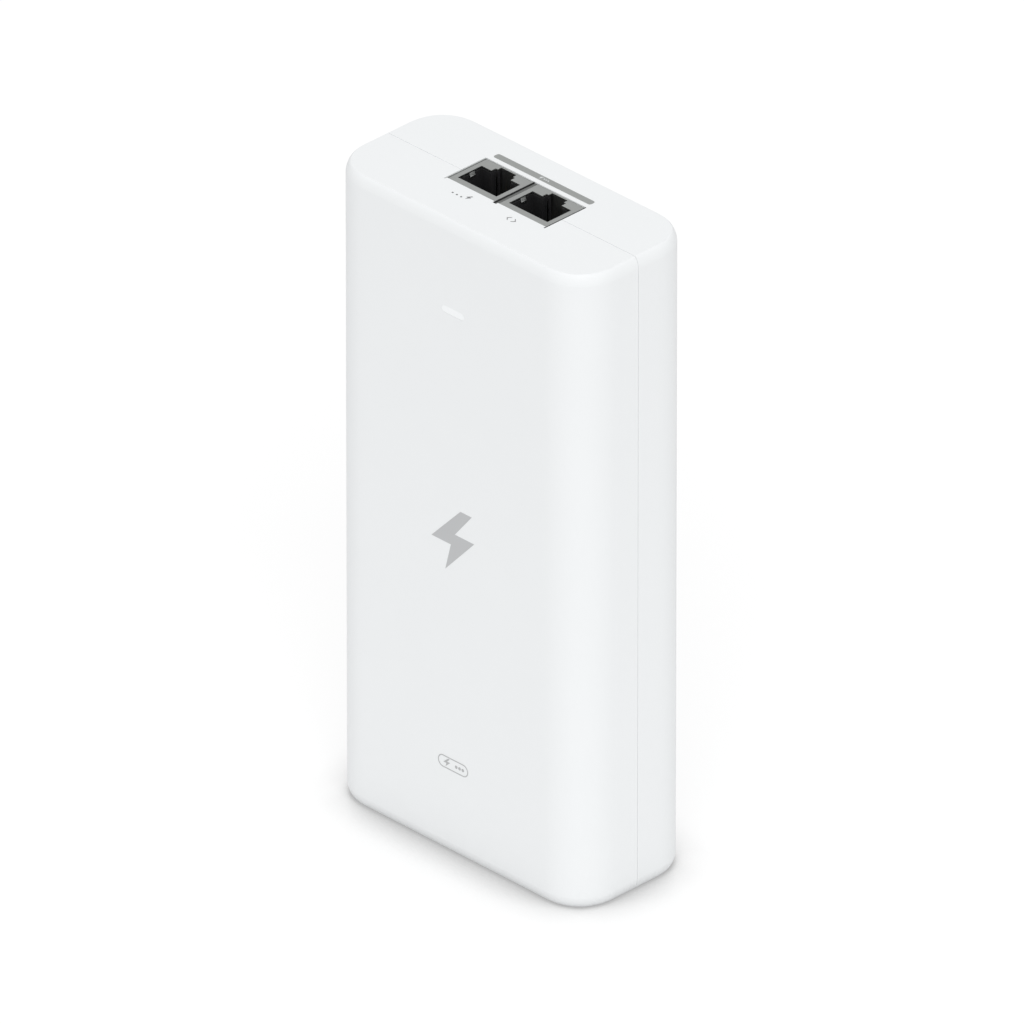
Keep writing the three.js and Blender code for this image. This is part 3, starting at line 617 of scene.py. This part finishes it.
def atMouth(a, b):  # how much of the rounding an edge takes: only the openings' outer edges are rounded
    def share(p):
        top = abs(p.z - bodyZ) < close and around(p.xy, socketLow.xy, dataHigh.xy)
        bottom = abs(p.z) < close and around(p.xy, inletLow.xy, inletHigh.xy)
        front = abs(p.y + bodyY / 2) < close and around(p.xz, windowLow.xz, windowHigh.xz)
        back = abs(p.y - bodyY / 2) < close and around(p.xz, labelLow.xz, labelHigh.xz)
        return window["holeRound"] if front else float(top or bottom or back)
    return min(share(a), share(b))


def inletOutline(grow):  # a box with two corners cut off at 45 degrees
    a, b = inletHigh.x - inlet["overhang"] + grow, inletHigh.y - inlet["overhang"] + grow
    c = inlet["chamfer"] + grow * (2 - math.sqrt(2))
    return [(a, b), (-a, b), (-a, -b + c), (-a + c, -b), (a - c, -b), (a, -b + c)]


def inletHole():
    return prism("inletHole", inletOutline(inlet["gap"]), "z", -past, past)


def windowHole():
    size = (window[key] + 2 * window["gap"] for key in ("width", "height"))
    return prism("windowHole", pill(windowMiddle, *size), "y", -bodyY, -bodyY / 2 + 2 * case["sideWall"])


def labelPocket():
    room = Vector((label["room"], label["room"]))
    outline = roundedBox(labelLow.xz - room, labelHigh.xz + room, label["radius"] + label["room"], 8)
    return prism("pocket", outline, "y", labelLow.y, bodyY)


def socketMouth():  # the opening in the top end, with a nick at each fold of the shields
    gap = socket["gap"]
    x0 = socketLow.x - edges["leafGap"] - edges["leafWidth"]["poe"] - gap
    x1 = dataHigh.x + edges["fin"]["data"] + gap
    y0, y1 = socketLow.y - gap, socketHigh.y + gap
    mouth = block("mouth", (x0, y0, bodyZ - past), (x1, y1, bodyZ + past))
    near, far = y0 - edges["nose"], y0 + edges["nickOverlap"]
    nicks = [block("nick", (left, near, bodyZ - past), (right, far, bodyZ + past))
             for left, right in ((x0, socketLow.x), (socketHigh.x, dataLow.x), (dataHigh.x, x1))]
    return [mouth, *nicks]


def buildCase():
    seam, tongueZ = case["seam"] / 2, case["endWall"] - case["tongue"]
    tongue = prism("tongue", caseOutline(case["sideWall"] - case["tongue"]), "z", tongueZ, bodyZ - tongueZ)
    combine(tongue, "INTERSECT", slab(-case["tongueReach"], case["tongueReach"]))
    front = combine(caseBody(), "INTERSECT", slab(-bodyY, -seam))
    cut(join(front, tongue), caseInside(0))
    cut(front, *socketMouth(), inletHole(), windowHole())

    rear = cut(combine(caseBody(), "INTERSECT", slab(seam, bodyY)), caseInside(0))
    rebate = combine(caseInside(case["tongue"] + case["tongueRoom"]), "INTERSECT",
                     slab(-bodyY, case["tongueReach"] + case["tongueRoom"]))
    cut(rear, rebate, *socketMouth(), inletHole(), labelPocket())

    for half, name, y in ((front, "front_shell", -seam), (rear, "rear_shell", seam)):
        soften(half, case["seamRound"], 2, onSeam(y))
        soften(half, case["mouthRound"], 2, atMouth)
        half.name = name.replace("_shell", "Case")
        finish(half, "case_white", finishes["case_white"], name)
    print("case halves:", len(front.data.polygons) + len(rear.data.polygons), "faces")


buildCase()


# network sockets: folded shield, black housing, comb and eight sprung contacts

contact = {"count": 8, "pitch": 1.02, "radius": 0.2, "groove": 0.62, "grooveFoot": 1.2, "well": 0.9,
           "bend": 2.4, "turn": 196, "turnSteps": 8, "floorRoom": 0.1, "lipRoom": 0.9, "backRoom": 0.6,
           "rise": 1.7,  # of the free end, whose points are shares of the rise and of the plug's depth
           "freeEnd": [(0.62, 0.28), (0.86, 0.44), (0.80, 0.52)]}
spring = {"thick": 0.16, "reach": 1.5, "round": 0.04, "gap": 0.02, "back": 0.60}
springs = {  # how far a tongue leans, its width, and its bends as shares of the lean and of the reach
    "side": {"lean": 0.34, "width": 1.6, "bends": [(0, 0), (0.25, 1 / 3), (1, 0.6), (0.45, 1)]},
    "front": {"lean": 0.238, "width": 1.44, "bends": [(0, 0), (0.3, 1 / 3), (1, 0.5), (0.4, 0.8)],
              "apart": 5.8},
}
housing = {"corner": 0.4, "round": 0.12, "plugGap": 0.04,
           "latchAbove": 3.0, "latchBelow": 9.0, "latchWall": 0.5, "latchOverlap": 0.2}


def plugPlace(use):  # the middle of a plug opening, and the line where it starts
    low, high = boxOf(use + "_jack_shield")
    return (low.x + high.x) / 2, low.y + socket["plugFromFront"]


def plugOutline(x, y, grow=0.0):
    a, b, c = (socket[key] / 2 + grow for key in ("plugWidth", "latchWidth", "tipWidth"))
    y0, y1 = y - grow, y + socket["plugHeight"] + grow
    y2 = y1 + socket["latchHeight"]
    y3 = y2 + socket["tipHeight"]
    return [(x - a, y0), (x + a, y0), (x + a, y1), (x + b, y1), (x + b, y2), (x + c, y2), (x + c, y3),
            (x - c, y3), (x - c, y2), (x - b, y2), (x - b, y1), (x - a, y1)]


def tube(name, path, radius, sides=10):  # a round wire along a path that stays in one Y-Z plane
    sideways = Vector((1, 0, 0))
    angles = [2 * math.pi * n / sides for n in range(sides)]
    rings = []
    for n, point in enumerate(path):
        before, after = path[max(n - 1, 0)], path[min(n + 1, len(path) - 1)]
        along = Vector((0, after[1] - before[1], after[2] - before[2])).normalized()
        across = along.cross(sideways)
        rings.append([Vector(point) + radius * (math.cos(a) * sideways + math.sin(a) * across)
                      for a in angles])
    return loft(name, rings)


def contactPath(x, y, topZ, backZ):  # up the sunk floor, round behind the lip, back as a spring
    bend = contact["radius"] * contact["bend"]
    floorY = y - contact["well"] + contact["radius"] + contact["floorRoom"]
    turnZ = topZ - socket["lip"] - contact["lipRoom"] - bend
    path = [(x, floorY, backZ + contact["backRoom"]), (x, floorY, turnZ)]
    for step in range(1, contact["turnSteps"] + 1):
        angle = step / contact["turnSteps"] * math.radians(contact["turn"])
        path.append((x, floorY + bend - bend * math.cos(angle), turnZ + bend * math.sin(angle)))
    return path + [(x, y + contact["rise"] * rise, turnZ - socket["plugDepth"] * back)
                   for rise, back in contact["freeEnd"]]


def springLeaf(kind, axis, across, inwards, middle, z):  # a sprung tongue folded in from the shield's rim
    lean, half = inwards * springs[kind]["lean"], springs[kind]["width"] / 2
    profile = [(across + lean * out, z - spring["reach"] * down) for out, down in springs[kind]["bends"]]
    back = [(u - inwards * spring["thick"], w) for u, w in reversed(profile)]
    return soften(prism("springLeaf", profile + back, axis, middle - half, middle + half), spring["round"], 2)


def buildShield(use):
    low, high = boxOf(use + "_jack_shield")
    x, plugY = plugPlace(use)
    sheet, half = socket["sheet"], socket["plugWidth"] / 2

    def outline(inset):
        by = Vector((inset, inset))
        return roundedBox(low.xy + by, high.xy - by, socket["corner"], 5)

    def rim(p, q):  # the top edges of the plug opening
        return all(abs(r.z - high.z) < close and abs(r.x - x) < half + sheet / 8
                   and plugY - sheet / 8 < r.y < high.y - 0.75 * sheet for r in (p, q))
    shield = loft("shield", [ring(outline(0), "z", low.z)]
                  + [ring(outline(inset), "z", high.z - drop) for inset, drop in socket["rim"]])
    hollow = block("hollow", (low.x + sheet, low.y + sheet, low.z - 1),
                   (high.x - sheet, high.y - sheet, high.z - sheet))
    cut(shield, hollow, prism("plug", plugOutline(x, plugY), "z", low.z - 1, high.z + 1))
    soften(shield, socket["plugRound"], 2, rim)
    leafZ, leafY = high.z - sheet, plugY + socket["plugHeight"] * spring["back"]
    away, apart, frontLeafY = half + spring["gap"], springs["front"]["apart"] / 2, plugY - spring["gap"]
    leaves = [springLeaf("side", "y", x + side * away, -side, leafY, leafZ) for side in (-1, 1)]
    leaves += [springLeaf("front", "x", frontLeafY, 1, x + side * apart, leafZ) for side in (-1, 1)]
    gather(shield, *leaves)
    shield.name = use + "Shield"
    finish(shield, "socket_metal", finishes["socket_metal"], use + "_jack_shield")


def buildFold(use, material):  # the fold that stands beside a shield
    low, high = boxOf(use + "_jack_shield")
    right = low.x - edges["leafGap"]
    outline = roundedBox((right - edges["leafWidth"][use], low.y - edges["nose"]), (right, high.y),
                         edges["corner"], 3)
    fold = prism("fold", outline, "z", high.z - edges["tall"], high.z - edges["leafSink"][use])
    soften(fold, edges["leafRound"], 2)
    fold.name = use + "Fold"
    finish(fold, "socket_metal", material)


def contactPlaces(x):
    reach = (contact["count"] - 1) * contact["pitch"] / 2
    return [x - reach + n * contact["pitch"] for n in range(contact["count"])]


def buildHousing(use):
    low, high = boxOf(use + "_jack_shield")
    inLow, inHigh = boxOf(use + "_jack_housing")
    x, plugY = plugPlace(use)
    body = prism("housing", roundedBox(inLow.xy, inHigh.xy, housing["corner"], 4), "z", inLow.z, inHigh.z)
    half, latch = contact["groove"] / 2, socket["latchWidth"] / 2
    grooves = [block("groove", (place - half, plugY - contact["well"], inLow.z + contact["grooveFoot"]),
                     (place + half, plugY + 1, inHigh.z - socket["lip"])) for place in contactPlaces(x)]
    cut(body, prism("plug", plugOutline(x, plugY, housing["plugGap"]), "z",
                    inHigh.z - socket["plugDepth"], inHigh.z + 1))
    cut(body, *grooves)
    latchY = plugY + socket["plugHeight"] - housing["latchOverlap"]
    cut(body, block("latchRoom", (x - latch, latchY, inHigh.z - housing["latchBelow"]),
                    (x + latch, inHigh.y - housing["latchWall"], inHigh.z - housing["latchAbove"])))
    soften(body, housing["round"], 2, angle=60)
    # painted shade: the fin is a strip of the housing's black plastic, raised beside the shield to stand in
    # for the shade in the gap there
    outline = roundedBox((high.x + edges["finGap"], low.y - edges["nose"]),
                         (high.x + edges["fin"][use], high.y), edges["corner"], 3)
    fin = prism("fin", outline, "z", high.z - edges["tall"], high.z + edges["finRise"])
    gather(body, soften(fin, edges["finRound"], 2))
    body.name = use + "Housing"
    finish(body, "socket_black", finishes["socket_black"], use + "_jack_housing")


def buildContacts(use):
    inLow, inHigh = boxOf(use + "_jack_housing")
    x, plugY = plugPlace(use)
    wires = [tube("contact", contactPath(place, plugY, inHigh.z, inLow.z), contact["radius"])
             for place in contactPlaces(x)]
    gather(*wires)
    wires[0].name = use + "Contacts"
    finish(wires[0], "contact_gold", finishes["contact_gold"], use + "_jack_contacts", angle=60)


# the data socket's fold takes the darker copy of the metal as painted shade
for use, material in (("poe", finishes["socket_metal"]), ("data", metal("shaded_metal", *shadedMetal))):
    buildShield(use)
    buildFold(use, material)
    buildHousing(use)
    buildContacts(use)
print("network sockets built")


# status light

def buildWindow():
    x, z = windowMiddle
    face, flangeY = -bodyY / 2, -bodyY / 2 + case["sideWall"] + window["flangeGap"]

    def windowRing(grow, y):
        return ring(pill((x, z), window["width"] + 2 * grow, window["height"] + 2 * grow), "y", y)
    angles = [math.pi / 2 * n / window["roundSteps"] for n in range(window["roundSteps"] + 1)]
    front = [windowRing(-window["round"] * (1 - math.sin(a)), face + window["round"] * (1 - math.cos(a)))
             for a in angles]
    lens = loft("lightWindow", front + [windowRing(0, flangeY + window["overlap"])])
    flange = loft("flange", [windowRing(window["flangeWider"], y)
                             for y in (flangeY, flangeY + window["flange"])])
    a, b = window["stem"] / 2, window["height"] / 2 - window["stemRoom"]
    stem = block("stem", (x - a, flangeY + window["overlap"], z - b), (x + a, windowHigh.y, z + b))
    join(lens, flange, stem)
    finish(lens, "light_window", finishes["light_window"], "light_pipe")
    print("light window built")


buildWindow()


# printed marks, as thin layers of ink: a plain bolt, dots, arrowheads and pills

printThick = 0.045
boltShape = [(0.12, 0.50), (-0.34, -0.08), (-0.03, -0.08), (-0.12, -0.50), (0.34, 0.10), (0.03, 0.10),
             (0.30, 0.50)]
frontMark = {"middle": (0.0, 81.3), "height": 16.5, "breadth": 1.2, "grey": (0.435, 0.442, 0.450)}
badge = {"middle": (0.0, 23.1), "length": 9.5, "height": 3.15, "line": 0.24, "steps": 14,
         "bolt": (-2.0, 2.2, 1.4), "dots": (1.0, 1.05, 0.40), "grey": (0.400, 0.405, 0.410)}
bar = {"front": 9.0, "back": 10.8, "left": -14.87, "right": 15.67, "corner": 0.6,
       "bolt": (-0.55, 1.25), "dots": (0.45, 0.62, 0.2),
       "grey": (0.258, 0.268, 0.260), "white": (0.62, 0.63, 0.64)}
icons = {"dots": (-9.7, 1.35, 0.24), "dotsY": -8.65, "bolt": (-5.55, -7.75), "boltHeight": 1.75,
         "arrows": (8.05, -7.95), "apart": 1.3, "arrow": 1.50, "line": 0.22, "grey": (0.170, 0.172, 0.175)}


def bolt(middle, size, breadth=1.0):
    return [(middle[0] + u * size * breadth, middle[1] + v * size) for u, v in boltShape]


def dotRow(start, step, radius, v):  # outlines of three dots in a row
    return [disc((start + step * n, v), radius) for n in range(3)]


def chevron(middle, size, side, line):
    u, v = middle
    outer = [(u, v + size / 2), (u + side * size / 2, v), (u, v - size / 2)]
    inner = [(u - side * line * 0.9, v - size / 2), (u + side * (size / 2 - line * 1.4), v),
             (u - side * line * 0.9, v + size / 2)]
    return outer + inner


def onFront(outline):
    face = -bodyY / 2
    return prism("print", outline, "y", face - printThick, face + close)


def onTop(outline, lift=0.0):
    return prism("print", outline, "z", bodyZ - close + lift, bodyZ + printThick + lift)


def printed(name, shapes, material, slot="case_white"):
    gather(*shapes)
    shapes[0].name = name
    finish(shapes[0], slot, material)


def printBadge():
    x, z = badge["middle"]
    long, tall, line = badge["length"], badge["height"], 2 * badge["line"]
    outer = onFront(pill((x, z), long, tall, badge["steps"]))
    hole = prism("hole", pill((x, z), long - line, tall - line, badge["steps"]), "y", -bodyY, -bodyY / 3)
    start, step, radius = badge["dots"]
    dots = [onFront(outline) for outline in dotRow(x + start, step, radius, z)]
    left, size, breadth = badge["bolt"]
    mark = onFront(bolt((x + left, z), size, breadth))
    printed("badge", [cut(outer, hole), mark, *dots], ink("badgeInk", badge["grey"], 0.42))


def printBar():
    low, high = (bar["left"], bar["front"]), (bar["right"], bar["back"])
    printed("markerBar", [onTop(roundedBox(low, high, bar["corner"]))], ink("barInk", bar["grey"], 0.40))
    y = (bar["front"] + bar["back"]) / 2
    x, size = bar["bolt"]
    marks = [bolt((x, y), size), *dotRow(*bar["dots"], y)]
    printed("barMarks", [onTop(mark, printThick) for mark in marks], ink("barMarksInk", bar["white"], 0.42))


def printIcons():
    marks = [*dotRow(*icons["dots"], icons["dotsY"]), bolt(icons["bolt"], icons["boltHeight"])]
    printed("poeMarks", [onTop(mark) for mark in marks], ink("poeInk", icons["grey"], 0.42))
    (x, y), apart = icons["arrows"], icons["apart"] / 2
    arrows = [chevron((x + side * apart, y), icons["arrow"], side, icons["line"]) for side in (-1, 1)]
    printed("dataMarks", [onTop(arrow) for arrow in arrows], ink("dataInk", icons["grey"], 0.42))


mark = bolt(frontMark["middle"], frontMark["height"], frontMark["breadth"])
printed("frontMark", [onFront(mark)], ink("markInk", frontMark["grey"], 0.42))
printBadge()
printBar()
printIcons()
print("printed marks built")


# rating label on the back, left blank but for its border, rules and bolt

def buildLabel():
    low, high = (labelLow.x, labelLow.z), (labelHigh.x, labelHigh.z)
    back, edge, line = labelHigh.y, label["border"], label["line"]

    def inset(by, radius):
        return roundedBox((low[0] + by, low[1] + by), (high[0] - by, high[1] - by), radius, 8)

    def onLabel(outline):
        return prism("print", outline, "y", back - close, back + label["thick"])
    film = loft("ratingLabel", [ring(inset(0, label["radius"]), "y", labelLow.y)]
                + [ring(inset(by, label["radius"]), "y", back - drop) for by, drop in label["rim"]])
    finish(film, "label_film", finishes["label_film"], "rating_label")

    hole = prism("hole", inset(edge + line, label["borderInner"]), "y", back - 1, back + 1)
    border = cut(onLabel(inset(edge, label["borderOuter"])), hole)
    gap = (high[1] - low[1] - 2 * edge) / (label["rules"] + 1)
    left, right = low[0] + label["ruleInset"], high[0] - label["ruleInset"]
    levels = [low[1] + edge + gap * n for n in range(1, label["rules"] + 1)]
    rules = [onLabel(roundedBox((left, z), (right, z + line), label["ruleRound"], 2)) for z in levels]
    mark = onLabel(bolt((0, high[1] - edge - gap / 2), *label["bolt"]))
    printed("labelMarks", [border, *rules, mark], ink("labelInk", label["grey"], 0.45), "label_film")
    print("label built")


buildLabel()


# mains inlet: housing with its cavity, and three pins

pin = {"point": 1.1, "pointInset": 0.45, "corner": 0.18, "taper": [(1, 0), (0.55, 0.25), (0.2, 0.6), (0, 1)],
       "tail": 0.6, "tailInset": 0.3}


def upright(a, b):  # the long edges along Z
    return abs(a.z - b.z) > 5


def atInletFace(a, b):
    return abs(a.z - inletLow.z) < close and abs(b.z - inletLow.z) < close


def buildInlet(pins):
    low, high = inletLow, inletHigh
    body = soften(prism("inletHousing", inletOutline(0), "z", low.z, high.z), inlet["corner"], 4, upright)
    collarZ = case["endWall"] + inlet["collarGap"]
    join(body, prism("collar", inletOutline(inlet["overhang"]), "z", collarZ, collarZ + inlet["collar"]))
    cavity = prism("cavity", inletOutline(-inlet["wall"]), "z", low.z - 2, low.z + inlet["depth"])
    cut(body, soften(cavity, inlet["cavityCorner"], 4, upright))
    soften(body, inlet["round"], 3, atInletFace)
    gap, holes = inlet["pinGap"], []
    for name in pins:
        a, b = boxOf("inlet_pin_" + name)
        holes.append(block("hole", (a.x - gap, a.y - gap, low.z + inlet["depth"] - 1),
                           (b.x + gap, b.y + gap, high.z + 1)))
    cut(body, *holes)
    finish(body, "inlet_black", finishes["inlet_black"], "inlet_housing")


def buildPin(name):
    a, b = boxOf("inlet_pin_" + name)
    levels = [(pin["pointInset"] * inset, a.z + pin["point"] * up) for inset, up in pin["taper"]]
    levels += [(0, b.z - pin["tail"]), (pin["tailInset"], b.z)]
    rings = [ring(roundedBox((a.x + k, a.y + k), (b.x - k, b.y - k), pin["corner"], 3), "z", z)
             for k, z in levels]
    finish(loft("pin" + name.capitalize(), rings), "pin_metal", finishes["pin_metal"],
           "inlet_pin_" + name, angle=50)


pins = ("line", "neutral", "earth")
buildInlet(pins)
for name in pins:
    buildPin(name)
print("mains inlet built")


# the parts inside keep their solids and get the finish of their slot

def finishInside():
    slots = {sub["node"]: sub["material_slot"] for sub in frame["record"]["subparts"]}
    count = 0
    for name, node in frame["nodes"].items():
        if not node.hide_render:
            node.data.materials.clear()
            node.data.materials.append(finishes[slots[name]])
            count += 1
    print("inside parts finished:", count)


finishInside()
